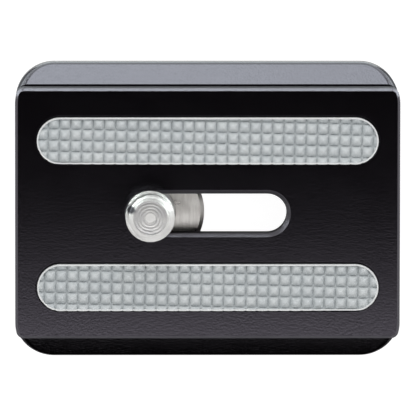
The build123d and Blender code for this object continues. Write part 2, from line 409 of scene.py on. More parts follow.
@dataclass(frozen=True)
class TurnedSteel(Finish):
    """Bright stainless bar, turned on a lathe and left as cut.

    To the eye it has fine rings round the screw's axis and random smears on its face. Its sides are
    painted lighter than its face and the round mark in its middle is painted pale, both as highlights,
    and a spot where the thread starts, near the tip's edge, is painted dark as shade.

    Attributes:
        centre: Where the screw's axis is.
        mark_spacing: The rings' spacing, coarser than the real feed of 0.1 mm so that it shows.
        mark_height: How deep the rings are.
        uneven: How far the roughness goes above and below its mean.
        cloud_size: The size of the smears.
        smear: The colour of the face where it is smeared.
        side_highlight: The colour of the sides, painted lighter than the face as a highlight.
        pip_highlight: The colour of the mark in the middle, painted pale as a highlight.
        pip_radius: The radius of that mark.
        pip_rougher: How much rougher that mark is.
        thread_start_shade: The colour of the painted shade where the thread starts.
        thread_start_shade_turn: Where that painted shade is, as an angle from +X.
        thread_start_shade_out: How far it is from the axis.
        thread_start_shade_size: Its radius.
    """

    centre: tuple[float, float] = (0.0, 0.0)
    mark_spacing: float = 0.4 * MM
    mark_height: float = 0.01 * MM
    uneven: float = 0.05
    cloud_size: float = 1.4 * MM
    smear: str = "#bab9ba"
    side_highlight: str = "#dedddb"
    pip_highlight: str = "#e6e5e3"
    pip_radius: float = 0.64 * MM
    pip_rougher: float = 0.1
    thread_start_shade: str = "#4c4c50"
    thread_start_shade_turn: float = math.radians(157)
    thread_start_shade_out: float = 2.72 * MM
    thread_start_shade_size: float = 0.62 * MM

    def build(self) -> bpy.types.Material:
        """Makes the material.

        Returns:
            The material, with its rings centred on the screw.
        """
        material, tree, shader, place = self.start()
        shader.inputs["Metallic"].default_value = 1.0
        centred = add_node(
            tree,
            "ShaderNodeMapping",
            inputs={"Vector": place, "Location": (-self.centre[0], -self.centre[1], 0.0)},
        ).outputs["Vector"]
        rings = add_node(
            tree,
            "ShaderNodeTexWave",
            {"wave_type": "RINGS", "rings_direction": "Z", "wave_profile": "SIN"},
            {
                "Vector": centred,
                "Scale": math.tau / (self.mark_spacing * WAVE_TURN),
                "Distortion": 1.2,
                "Detail": 2.0,
                "Detail Scale": 1.5,
            },
        ).outputs["Fac"]
        flat = add_node(
            tree, "ShaderNodeVectorMath", {"operation": "MULTIPLY"}, {0: centred, 1: (1.0, 1.0, 0.0)}
        ).outputs["Vector"]
        radius = add_node(tree, "ShaderNodeVectorMath", {"operation": "LENGTH"}, {0: flat}).outputs["Value"]
        past_pip = add_node(
            tree,
            "ShaderNodeMapRange",
            inputs={"Value": radius, "From Min": self.pip_radius * 0.9, "From Max": self.pip_radius * 1.1},
        ).outputs["Result"]
        height = add_node(
            tree, "ShaderNodeMath", {"operation": "MULTIPLY"}, {0: rings, 1: past_pip}
        ).outputs[0]
        bump = add_node(
            tree, "ShaderNodeBump", inputs={"Height": height, "Distance": self.mark_height, "Strength": 1.0}
        )
        tree.links.new(bump.outputs["Normal"], shader.inputs["Normal"])
        tree.links.new(self.colours(tree, place, flat, past_pip), shader.inputs["Base Color"])
        tree.links.new(self.gloss(tree, rings, past_pip), shader.inputs["Roughness"])
        return material

    def colours(
        self,
        tree: bpy.types.NodeTree,
        place: bpy.types.NodeSocket,
        flat: bpy.types.NodeSocket,
        past_pip: bpy.types.NodeSocket,
    ) -> bpy.types.NodeSocket:
        """Mixes the smeared face, the sides and the mark in the middle, painted light as highlights, and the
        painted shade where the thread starts.

        Args:
            tree: The node tree.
            place: The Object coordinates.
            flat: The X and Y from the screw's axis.
            past_pip: 0 on the mark in the middle and 1 outside it.

        Returns:
            The colour.
        """
        clouds = add_node(
            tree, "ShaderNodeTexNoise", inputs={"Vector": place, "Scale": 1 / self.cloud_size, "Detail": 3.0}
        ).outputs["Fac"]
        face = add_node(
            tree,
            "ShaderNodeValToRGB",
            inputs={"Fac": clouds},
            stops=[(0.3, linear(self.smear)), (0.7, linear(self.colour))],
        ).outputs["Color"]
        normal = add_node(tree, "ShaderNodeTexCoord").outputs["Normal"]
        upward = add_node(tree, "ShaderNodeSeparateXYZ", inputs={"Vector": normal}).outputs["Z"]
        faced = add_node(
            tree, "ShaderNodeMapRange", inputs={"Value": upward, "From Min": 0.85, "From Max": 0.95}
        ).outputs["Result"]
        spot = (math.cos(self.thread_start_shade_turn) * self.thread_start_shade_out, math.sin(self.thread_start_shade_turn) * self.thread_start_shade_out, 0.0)
        from_spot = add_node(
            tree, "ShaderNodeVectorMath", {"operation": "DISTANCE"}, {0: flat, 1: spot}
        ).outputs["Value"]
        rough_edge = add_node(
            tree, "ShaderNodeMapRange", inputs={"Value": clouds, "To Min": 0.6, "To Max": 1.4}
        ).outputs["Result"]
        ragged = add_node(
            tree, "ShaderNodeMath", {"operation": "MULTIPLY"}, {0: from_spot, 1: rough_edge}
        ).outputs[0]
        outside_thread_start_shade = add_node(
            tree,
            "ShaderNodeMapRange",
            inputs={"Value": ragged, "From Min": self.thread_start_shade_size * 0.6, "From Max": self.thread_start_shade_size * 1.1},
        ).outputs["Result"]
        colour = face
        # The sides and the mark in the middle are painted highlights, and the spot where the thread starts is
        # painted shade
        for share, under in ((faced, self.side_highlight), (past_pip, self.pip_highlight), (outside_thread_start_shade, self.thread_start_shade)):
            colour = add_node(
                tree, "ShaderNodeMix", COLOURS, {SHARE: share, FIRST: linear(under), SECOND: colour}
            ).outputs[MIXED]
        return colour

    def gloss(
        self, tree: bpy.types.NodeTree, rings: bpy.types.NodeSocket, past_pip: bpy.types.NodeSocket
    ) -> bpy.types.NodeSocket:
        """Varies the roughness with the rings, and adds to it on the mark in the middle.

        Args:
            tree: The node tree.
            rings: The pattern of the rings.
            past_pip: 0 on the mark in the middle and 1 outside it.

        Returns:
            The roughness.
        """
        least, most = self.roughness - self.uneven, self.roughness + self.uneven
        turned = add_node(
            tree, "ShaderNodeMapRange", inputs={"Value": rings, "To Min": least, "To Max": most}
        ).outputs["Result"]
        pip = add_node(
            tree, "ShaderNodeMapRange", inputs={"Value": past_pip, "To Min": self.pip_rougher, "To Max": 0.0}
        ).outputs["Result"]
        return add_node(tree, "ShaderNodeMath", {"operation": "ADD"}, {0: turned, 1: pip}).outputs[0]


@dataclass(frozen=True)
class StampedSteel(Finish):
    """Stainless sheet, stamped, with its mill finish.

    To the eye it is a soft mirror with faint streaks from rolling, along Y, and smudges from handling.

    Attributes:
        streak_colour: The colour of the darkest streaks.
        streak_width: The streaks' width, coarser than the real 0.05 mm so that they show.
        streak_stretch: How many times longer than wide they are.
        streak_height: How deep they are.
        smudge_size: The size of the smudges.
        uneven: How far the roughness goes above and below its mean.
    """

    streak_colour: str = "#d0ccc8"
    streak_width: float = 0.35 * MM
    streak_stretch: float = 6.0
    streak_height: float = 0.0015 * MM
    smudge_size: float = 1.8 * MM
    uneven: float = 0.08

    def build(self) -> bpy.types.Material:
        """Makes the material.

        Returns:
            The material.
        """
        material, tree, shader, place = self.start()
        shader.inputs["Metallic"].default_value = 1.0
        stretched = add_node(
            tree, "ShaderNodeMapping", inputs={"Vector": place, "Scale": (1.0, 1 / self.streak_stretch, 1.0)}
        ).outputs["Vector"]
        streaks = add_node(
            tree,
            "ShaderNodeTexNoise",
            inputs={"Vector": stretched, "Scale": 1 / self.streak_width, "Detail": 4.0},
        ).outputs["Fac"]
        smudges = add_node(
            tree, "ShaderNodeTexNoise", inputs={"Vector": place, "Scale": 1 / self.smudge_size, "Detail": 4.0}
        ).outputs["Fac"]
        both = add_node(
            tree, "ShaderNodeMath", {"operation": "MULTIPLY"}, {0: streaks, 1: smudges}
        ).outputs[0]
        tone = add_node(
            tree,
            "ShaderNodeValToRGB",
            inputs={"Fac": both},
            stops=[(0.15, linear(self.streak_colour)), (0.38, linear(self.colour))],
        )
        tree.links.new(tone.outputs["Color"], shader.inputs["Base Color"])
        bump = add_node(
            tree,
            "ShaderNodeBump",
            inputs={"Height": streaks, "Distance": self.streak_height, "Strength": 1.0},
        )
        tree.links.new(bump.outputs["Normal"], shader.inputs["Normal"])
        least, most = self.roughness - self.uneven, self.roughness + self.uneven
        rough = add_node(
            tree, "ShaderNodeMapRange", inputs={"Value": smudges, "To Min": least, "To Max": most}
        )
        tree.links.new(rough.outputs["Result"], shader.inputs["Roughness"])
        return material


@dataclass(frozen=True)
class PlainSteel(Finish):
    """Steel with an even skin: drawn wire, or a set screw with black oxide.

    To the eye the wire is bright and smooth, and the oxide nearly black with a soft metal sheen. Both
    have a fine even grain with small changes of gloss.

    Attributes:
        grain_size: The grain, coarser than the real 0.05 mm so that it shows in the render.
        grain_height: How deep the grain is.
        uneven: How far the roughness goes above and below its mean.
    """

    grain_size: float = 0.25 * MM
    grain_height: float = 0.002 * MM
    uneven: float = 0.07

    def build(self) -> bpy.types.Material:
        """Makes the material.

        Returns:
            The material.
        """
        material, tree, shader, place = self.start()
        shader.inputs["Metallic"].default_value = 1.0
        grain = add_node(
            tree, "ShaderNodeTexNoise", inputs={"Vector": place, "Scale": 1 / self.grain_size, "Detail": 3.0}
        ).outputs["Fac"]
        bump = add_node(
            tree, "ShaderNodeBump", inputs={"Height": grain, "Distance": self.grain_height, "Strength": 1.0}
        )
        tree.links.new(bump.outputs["Normal"], shader.inputs["Normal"])
        least, most = self.roughness - self.uneven, self.roughness + self.uneven
        rough = add_node(tree, "ShaderNodeMapRange", inputs={"Value": grain, "To Min": least, "To Max": most})
        tree.links.new(rough.outputs["Result"], shader.inputs["Roughness"])
        return material


def object_from(
    name: str, bm: bmesh.types.BMesh, material: bpy.types.Material, smooth_below: float
) -> bpy.types.Object:
    """Turns a finished closed bmesh into an object at the origin.

    Args:
        name: The object's name.
        bm: The bmesh, which is freed.
        material: The finish.
        smooth_below: Edges that turn by less than this many degrees are shaded smooth.

    Returns:
        The linked object.
    """
    bmesh.ops.remove_doubles(bm, verts=bm.verts, dist=MERGE_DISTANCE)
    bmesh.ops.recalc_face_normals(bm, faces=bm.faces)
    return linked(name, bm, material, smooth_below)


def linked(
    name: str, bm: bmesh.types.BMesh, material: bpy.types.Material, smooth_below: float
) -> bpy.types.Object:
    """Turns a bmesh into a linked object as it stands, and marks its smooth and sharp edges.

    Args:
        name: The object's name.
        bm: The bmesh, which is freed.
        material: The finish.
        smooth_below: Edges that turn by less than this many degrees are shaded smooth.

    Returns:
        The linked object.
    """
    limit = math.radians(smooth_below)
    for face in bm.faces:
        face.smooth = True
    for edge in bm.edges:
        edge.smooth = edge.calc_face_angle(math.pi) < limit
    mesh = bpy.data.meshes.new(name)
    bm.to_mesh(mesh)
    bm.free()
    mesh.materials.append(material)
    piece = bpy.data.objects.new(name, mesh)
    bpy.context.scene.collection.objects.link(piece)
    return piece


def put_on(piece: bpy.types.Object, body: Body, slot: str, *nodes: str) -> None:
    """Makes a new piece ride on its body and stand for its CAD nodes.

    Args:
        piece: The new piece.
        body: The body that it moves with.
        slot: Not used.
        *nodes: The CAD nodes that it stands for.
    """
    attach(piece, body.value)
    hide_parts(*nodes)
    log.info("%s: %d faces on %s", piece.name, len(piece.data.polygons), body.value)


def profile_edges(bm: bmesh.types.BMesh, points: list[tuple[float, float]], closed: bool) -> list[Any]:
    """Lays a profile out in the XZ plane.

    Args:
        bm: The bmesh that gets it.
        points: Radius and height pairs.
        closed: Whether the last point joins the first.

    Returns:
        The new vertices and edges.
    """
    verts = [bm.verts.new((radius, 0.0, height)) for radius, height in points]
    ends = verts[1:] + verts[:1] if closed else verts[1:]
    edges = [bm.edges.new(pair) for pair in zip(verts, ends)]
    return verts + edges


def revolve(points: list[tuple[float, float]], steps: int, closed: bool) -> bmesh.types.BMesh:
    """Spins a profile once round the Z axis into a closed surface.

    Args:
        points: Radius and height pairs.
        steps: How many stretches go round.
        closed: Whether the last point joins the first.

    Returns:
        The surface.
    """
    bm = bmesh.new()
    bmesh.ops.spin(
        bm,
        geom=profile_edges(bm, points, closed),
        cent=(0, 0, 0),
        axis=(0, 0, 1),
        angle=math.tau,
        steps=steps,
        use_merge=True,
    )
    bmesh.ops.remove_doubles(bm, verts=bm.verts, dist=MERGE_DISTANCE)
    return bm


def cut_away(
    piece: bpy.types.Object, cutters: list[bmesh.types.BMesh], smooth_below: float
) -> bpy.types.Object:
    """Takes closed cutter shapes out of a piece.

    Args:
        piece: The piece, which is replaced.
        cutters: Closed bmeshes, which are freed.
        smooth_below: The angle for smooth shading of the result, in degrees.

    Returns:
        The cut piece, under the same name.
    """
    tools = []
    for cutter in cutters:
        mesh = bpy.data.meshes.new("cutter")
        cutter.to_mesh(mesh)
        cutter.free()
        tool = bpy.data.objects.new("cutter", mesh)
        bpy.context.scene.collection.objects.link(tool)
        modifier = piece.modifiers.new("cut", "BOOLEAN")
        modifier.operation = "DIFFERENCE"
        modifier.solver = "EXACT"
        modifier.object = tool
        tools.append(tool)
    shape = bpy.data.meshes.new_from_object(piece.evaluated_get(bpy.context.evaluated_depsgraph_get()))
    bm = bmesh.new()
    bm.from_mesh(shape)
    name, material = piece.name, piece.data.materials[0]
    for spare in [piece, *tools]:
        bpy.data.objects.remove(spare)
    bpy.data.meshes.remove(shape)
    # The uncut mesh goes, so that the new one can take its name
    for old in [mesh for mesh in bpy.data.meshes if mesh.name == name]:
        bpy.data.meshes.remove(old)
    return object_from(name, bm, material, smooth_below)


@dataclass
class PlateBody:
    """The dovetail plate with its slot, pocket and pad seats, as the CAD node has it."""

    node: str = "plate_body"
    finish: AnodisedAluminium = AnodisedAluminium("black_anodised_aluminium", "#030203", 0.2)

    def dress(self) -> None:
        """Gives the CAD node its anodised finish."""
        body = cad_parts[self.node]
        body.data.materials.clear()
        body.data.materials.append(self.finish.build())
        log.info("%s: finish %s", self.node, self.finish.name)


@dataclass
class StopScrews:
    """The two safety set screws in the base, as the CAD nodes have them."""

    nodes: tuple[str, ...] = ("right_stop_screw", "left_stop_screw")
    finish: PlainSteel = PlainSteel("black_oxide_steel", "#2a2928", 0.42)

    def dress(self) -> None:
        """Gives both CAD nodes their black oxide finish."""
        material = self.finish.build()
        for node in self.nodes:
            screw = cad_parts[node]
            screw.data.materials.clear()
            screw.data.materials.append(material)
            log.info("%s: finish %s", node, self.finish.name)


@dataclass
class GripPad:
    """A rubber strip cut from a moulded sheet of small rounded pyramids, with a cut rim painted pale as a
    highlight.

    Attributes:
        node: The CAD node that it stands for.
        angle: How far the sheet's rows are turned from X, in degrees.
        offset: Where a valley crossing lies from the strip's centre.
        seated: How far the strip lies off its seat's centre.
        pitch: The pyramids' spacing.
        height: The pyramids' height above the valleys.
        cell_steps: How many faces cross one pyramid.
        ridge: The power that rounds a pyramid's four ridges, more as it falls to 2.
        dome: The power that rounds its apex, from 1 for a sharp one.
        gap: How much smaller the rubber is than its seat's outline.
        rim_width: How wide the cut rim is.
        rim_depth: How far the cut rim lies below the pyramids' tips.
        rim_steps: How many cuts make a round end.
        notch: How far the rim's front side draws in where it crosses a valley.
        notch_power: How closely a notch keeps to its valley.
        smooth_below: The angle for smooth shading, in degrees.
    """

    node: str
    angle: float
    offset: tuple[float, float]
    seated: tuple[float, float]
    pitch: float = 1.455 * MM
    height: float = 0.76 * MM
    cell_steps: int = 12
    ridge: float = 5.0
    dome: float = 1.8
    gap: float = 0.09 * MM
    rim_width: float = 0.2 * MM
    rim_depth: float = 0.06 * MM
    rim_steps: int = 20
    notch: float = 0.06 * MM
    notch_power: float = 3.0
    smooth_below: float = 50.0

    def build(self, rubber: bpy.types.Material, rim_highlight: bpy.types.Material) -> None:
        """Models the strip and puts it on the plate.

        Args:
            rubber: The finish of the pyramids.
            rim_highlight: The finish of the cut rim, painted pale as a highlight.
        """
        low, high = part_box(self.node)
        centre = (low + high) / 2 + Vector((*self.seated, 0))
        width = high.y - low.y
        half_straight = (high.x - low.x - width) / 2
        bm = bmesh.new()
        # The sheet lies askew and off centre, so it has a few pyramids to spare
        columns = 2 * math.ceil((high.x - low.x) / 2 / self.pitch) + 2
        rows = 2 * math.ceil(width / 2 / self.pitch) + 4
        faces = (columns * self.cell_steps, rows * self.cell_steps)
        bmesh.ops.create_grid(bm, x_segments=faces[0], y_segments=faces[1], size=0.5)
        bmesh.ops.scale(bm, vec=(columns * self.pitch, rows * self.pitch, 1), verts=bm.verts)
        for vert in bm.verts:
            vert.co.z = self.relief(vert.co.x, vert.co.y)
        crossing = (centre.x + self.offset[0], centre.y + self.offset[1], high.z - self.height)
        place = Matrix.Translation(crossing) @ Matrix.Rotation(math.radians(self.angle), 4, "Z")
        bmesh.ops.transform(bm, matrix=place, verts=bm.verts)
        radius = width / 2 - self.gap
        self.cut_out(bm, centre, half_straight, radius - self.rim_width)
        self.close(bm, centre, half_straight, radius, place.inverted(), (low.z, high.z))
        piece = object_from(self.node + "_rubber", bm, rubber, self.smooth_below)
        piece.data.materials.append(rim_highlight)
        put_on(piece, Body.PLATE, "pad_rubber", self.node)

    def relief(self, x: float, y: float) -> float:
        """Gives the sheet's height above its valleys, where a valley crossing lies at the origin.

        Args:
            x: Distance along the rows.
            y: Distance across them.

        Returns:
            The height, from 0 in a valley to the full height at an apex.
        """
        across = abs((x / self.pitch) % 1.0 - 0.5) * 2
        along = abs((y / self.pitch) % 1.0 - 0.5) * 2
        reach = (across**self.ridge + along**self.ridge) ** (1 / self.ridge)
        return self.height * max(0.0, 1 - reach**self.dome)

    def cut_out(self, bm: bmesh.types.BMesh, centre: Vector, half_straight: float, radius: float) -> None:
        """Cuts the sheet to the strip's round-ended outline, as a die does.

        Args:
            bm: The sheet.
            centre: The strip's centre.
            half_straight: Half the length between the round ends' centres.
            radius: The radius of the round ends.
        """
        for step in range(2 * self.rim_steps):
            turn = step * math.pi / self.rim_steps
            outward = Vector((math.cos(turn), math.sin(turn), 0))
            end = Vector((math.copysign(half_straight, outward.x), 0, 0))
            bmesh.ops.bisect_plane(
                bm,
                geom=list(bm.verts) + list(bm.edges) + list(bm.faces),
                dist=MERGE_DISTANCE / 4,
                plane_co=centre + end + outward * radius,
                plane_no=outward,
                clear_outer=True,
            )

    def close(
        self,
        bm: bmesh.types.BMesh,
        centre: Vector,
        half_straight: float,
        radius: float,
        to_sheet: Matrix,
        heights: tuple[float, float],
    ) -> None:
        """Gives the cut edge a level rim, painted pale as a highlight, draws it down to the seat and closes
        the underside.

        Args:
            bm: The cut sheet.
            centre: The strip's centre.
            half_straight: Half the length between the round ends' centres.
            radius: The radius of the finished round ends.
            to_sheet: What brings a place back to the sheet as it was drawn.
            heights: The heights of the seat and of the pyramids' tips.
        """
        floor, top = heights
        # Where the sheet rises above the rim's level, the rim goes a hair above the sheet
        for vert in self.draw(bm):
            vert.co.z = max(vert.co.z + 2 * MERGE_DISTANCE, top - self.rim_depth)
        for vert in self.draw(bm):
            along = max(-half_straight, min(half_straight, vert.co.x - centre.x))
            middle = Vector((centre.x + along, centre.y, vert.co.z))
            outward = (vert.co - middle).normalized()
            drawn = to_sheet @ vert.co
            valley = 1 - self.relief(drawn.x, drawn.y) / self.height
            notch = self.notch * max(0.0, -outward.y) * valley**self.notch_power
            vert.co = middle + outward * (radius - notch)
        for vert in self.draw(bm):
            vert.co.z = floor
        bmesh.ops.contextual_create(bm, geom=[edge for edge in bm.edges if edge.is_boundary])

    def draw(self, bm: bmesh.types.BMesh) -> list[bmesh.types.BMVert]:
        """Extrudes the open edge in place, in the rim's finish, which is painted pale as a highlight.

        Args:
            bm: The strip.

        Returns:
            The new edge's vertices.
        """
        made = bmesh.ops.extrude_edge_only(bm, edges=[edge for edge in bm.edges if edge.is_boundary])["geom"]
        for face in [part for part in made if isinstance(part, bmesh.types.BMFace)]:
            # Slot 1 holds the rim's finish, painted pale as a highlight
            face.material_index = 1
        return [part for part in made if isinstance(part, bmesh.types.BMVert)]


@dataclass
class GripPads:
    """Both rubber strips, which are cut from the same moulded sheet.

    Attributes:
        strips: The rear and the front strip.
        rubber: The finish of the pyramids.
        rim_highlight: The finish of the rim. Its paler colour is a painted highlight, and it is a little
            smoother than the moulded skin.
    """

    strips: tuple[GripPad, ...] = (
        GripPad("rear_grip_pad", -1.2, (-0.34 * MM, -0.32 * MM), (0, -0.06 * MM)),
        GripPad("front_grip_pad", -1.1, (0.6 * MM, 0.4 * MM), (0.03 * MM, -0.07 * MM)),
    )
    rubber: MouldedRubber = MouldedRubber("light_grey_rubber", "#d0d4d5", 0.7)
    # The rim's pale colour is a painted highlight
    rim_highlight: MouldedRubber = MouldedRubber("cut_grey_rubber", "#e9eaea", 0.6, shade="#e3e5e5")

    def build(self) -> None:
        """Models both strips and puts them on the plate."""
        rubber, rim_highlight = self.rubber.build(), self.rim_highlight.build()
        for strip in self.strips:
            strip.build(rubber, rim_highlight)


@dataclass
class CameraScrew:
    """The captive screw, turned in one piece: thread, neck, flange and slotted boss.

    Attributes:
        node: The CAD node that it stands for.
        finish: Its finish, whose rings are centred on the screw when it is built.
        pitch: The height that the thread climbs in one turn, 1/20 inch.
        thread_radius: The radius of the thread's crest, 1/8 inch.
        thread_depth: How far the thread's root lies below its crest.
        crest_share: The share of the pitch that the thread's flat crest takes.
        root_share: The share of the pitch that the thread's flat root takes.
        thread_length: The height of the thread, to the tip.
        runout: The height over which the thread grows out of the neck.
        tip_radius: The radius of the tip's face.
        tip_length: The height over which the thread tapers to the tip.
        neck_radius: The radius of the plain neck, which slides in the slot.
        flange_bottom: The height of the flange's underside.
        flange_top: The height of its upper side.
        flange_chamfer: The size of the breaks on its edges.
        boss_radius: The radius of the slotted boss.
        boss_chamfer: The size of the break on its edge.
        mark_radius: The radius of the turning mark in the middle of the tip.
        mark_depth: How deep that mark is.
        crown: How far the tip's face rises from its edge to that mark.
        start_turn: Where the thread stands, in turns from +X.
        coin_slot: The coin slot's width and depth.
        ring_z: The height of the cross hole for the ring's pins.
        ring_hole_radius: The radius of that hole.
        steps: How many stretches go round.
        row: The height of one row of the thread's faces.
        smooth_below: The angle for smooth shading, in degrees.
    """

    node: str = "camera_screw"
    finish: TurnedSteel = TurnedSteel("turned_stainless_steel", "#d4d3d1", 0.42)
    pitch: float = 1.27 * MM
    thread_radius: float = 3.175 * MM
    thread_depth: float = 0.775 * MM
    crest_share: float = 0.125
    root_share: float = 0.2
    thread_length: float = 5.5 * MM
    runout: float = 0.6 * MM
    tip_radius: float = 2.25 * MM
    tip_length: float = 0.8 * MM
    neck_radius: float = 2.4 * MM
    flange_bottom: float = 3.7 * MM
    flange_top: float = 5.0 * MM
    flange_chamfer: float = 0.25 * MM
    boss_radius: float = 3.5 * MM
    boss_chamfer: float = 0.3 * MM
    mark_radius: float = 0.7 * MM
    mark_depth: float = 0.04 * MM
    crown: float = 0.022 * MM
    start_turn: float = 0.03
    coin_slot: tuple[float, float] = (1.4 * MM, 0.9 * MM)
    ring_z: float = 2.9 * MM
    ring_hole_radius: float = 0.75 * MM
    steps: int = 96
    row: float = 0.05 * MM
    smooth_below: float = 28.0

    def build(self, centre: tuple[float, float]) -> None:
        """Models the screw round its axis and puts it on its body.

        Args:
            centre: The X and Y of the screw's axis.
        """
        low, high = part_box(self.node)
        flange_radius = (high.x - low.x) / 2
        tip, bottom = high.z, low.z
        start = tip - self.thread_length
        count = round(self.thread_length / self.row)
        rows = [start + self.thread_length * i / count for i in range(1, count - 1)]
        outline = [
            (0.0, bottom),
            (self.boss_radius - self.boss_chamfer, bottom),
            (self.boss_radius, bottom + self.boss_chamfer),
            (self.boss_radius, self.flange_bottom),
            (flange_radius - self.flange_chamfer, self.flange_bottom),
            (flange_radius, self.flange_bottom + self.flange_chamfer),
            (flange_radius, self.flange_top - self.flange_chamfer),
            (flange_radius - self.flange_chamfer, self.flange_top),
            (self.neck_radius, self.flange_top),
            (self.neck_radius, start),
            *[(self.thread_radius, z) for z in rows],
            (self.tip_radius, tip - self.crown),
            (self.mark_radius, tip),
            (self.mark_radius - self.mark_depth, tip - self.mark_depth),
            (0.0, tip - self.mark_depth),
        ]
        bm = revolve(outline, self.steps, closed=False)
        self.cut_thread(bm, start, tip)
        bmesh.ops.translate(bm, vec=(*centre, 0), verts=bm.verts)
        material = replace(self.finish, centre=centre).build()
        piece = object_from(self.node + "_turned", bm, material, self.smooth_below)
        cutters = [self.coin_slot_cutter(bottom), self.pin_hole_cutter()]
        for cutter in cutters:
            bmesh.ops.translate(cutter, vec=(*centre, 0), verts=cutter.verts)
        piece = cut_away(piece, cutters, self.smooth_below)
        put_on(piece, Body.SCREW, "turned_steel", self.node)

    def cut_thread(self, bm: bmesh.types.BMesh, start: float, tip: float) -> None:
        """Moves the thread's rows in to a right-handed helix that runs out at both ends.

        Args:
            bm: The revolved screw.
            start: The height where the thread begins.
            tip: The height of the tip's flat.
        """
        neck_slope = (self.thread_radius - self.neck_radius) / self.runout
        tip_slope = (self.thread_radius - self.tip_radius) / self.tip_length
        for vert in bm.verts:
            radius = math.hypot(vert.co.x, vert.co.y)
            if not start < vert.co.z < tip or radius < self.neck_radius:
                continue
            turn = math.atan2(vert.co.y, vert.co.x) / math.tau - self.start_turn
            share = (vert.co.z / self.pitch - turn) % 1.0
            from_crest = abs(share - 0.5) * 2
            slope = (from_crest - self.crest_share) / (1 - self.crest_share - self.root_share)
            depth = self.thread_depth * min(1.0, max(0.0, slope))
            lead_in = self.neck_radius + (vert.co.z - start) * neck_slope
            lead_out = self.tip_radius + (tip - vert.co.z) * tip_slope
            wanted = min(self.thread_radius - depth, lead_in, lead_out)
            vert.co.x *= wanted / radius
            vert.co.y *= wanted / radius

    def coin_slot_cutter(self, bottom: float) -> bmesh.types.BMesh:
        """Makes the bar that cuts the coin slot across the boss.

        Args:
            bottom: The height of the boss's underside.

        Returns:
            The bar.
        """
        width, depth = self.coin_slot
        bm = bmesh.new()
        bmesh.ops.create_cube(bm, size=1.0)
        bmesh.ops.scale(bm, vec=(4 * self.boss_radius, width, 2 * depth), verts=bm.verts)
        bmesh.ops.translate(bm, vec=(0, 0, bottom), verts=bm.verts)
        return bm

    def pin_hole_cutter(self) -> bmesh.types.BMesh:
        """Makes the rod that drills the cross hole for the ring's pins.

        Returns:
            The rod.
        """
        bm = bmesh.new()
        bmesh.ops.create_cone(
            bm,
            cap_ends=True,
            segments=32,
            radius1=self.ring_hole_radius,
            radius2=self.ring_hole_radius,
            depth=4 * self.boss_radius,
        )
        turn = Matrix.Rotation(math.pi / 2, 4, "X")
        bmesh.ops.transform(bm, matrix=Matrix.Translation((0, 0, self.ring_z)) @ turn, verts=bm.verts)
        return bm


@dataclass
class ScrewWasher:
    """The flat washer on the screw's flange, with its stamped, rolled rim.

    Attributes:
        node: The CAD node that it stands for.
        finish: Its finish.
        bore_radius: The radius of its hole, through which the thread passes.
        rim_width: How far in the rolled rim reaches.
        rim_height: How far down the rolled rim reaches.
        edge_break: The size of the breaks on its other edges.
        steps: How many stretches go round.
        smooth_below: The angle for smooth shading, in degrees.
    """

    node: str = "screw_washer"
    finish: StampedSteel = StampedSteel("stamped_stainless_steel", "#e6e3df", 0.3)
    bore_radius: float = 3.325 * MM
    rim_width: float = 0.5 * MM
    rim_height: float = 0.36 * MM
    edge_break: float = 0.06 * MM
    steps: int = 128
    smooth_below: float = 20.0

    def build(self, centre: tuple[float, float]) -> None:
        """Models the washer and puts it on its body.

        Args:
            centre: The X and Y of the screw's axis.
        """
        low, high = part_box(self.node)
        outer = (high.x - low.x) / 2
        small = self.edge_break
        outline = [
            (self.bore_radius + small, low.z),
            (outer - small, low.z),
            (outer, low.z + small),
            (outer, high.z - self.rim_height),
            (outer - self.rim_width, high.z),
            (self.bore_radius + small, high.z),
            (self.bore_radius, high.z - small),
            (self.bore_radius, low.z + small),
        ]
        bm = revolve(outline, self.steps, closed=True)
        bmesh.ops.translate(bm, vec=(*centre, 0), verts=bm.verts)
        piece = object_from(self.node + "_stamped", bm, self.finish.build(), self.smooth_below)
        put_on(piece, Body.WASHER, "washer_steel", self.node)


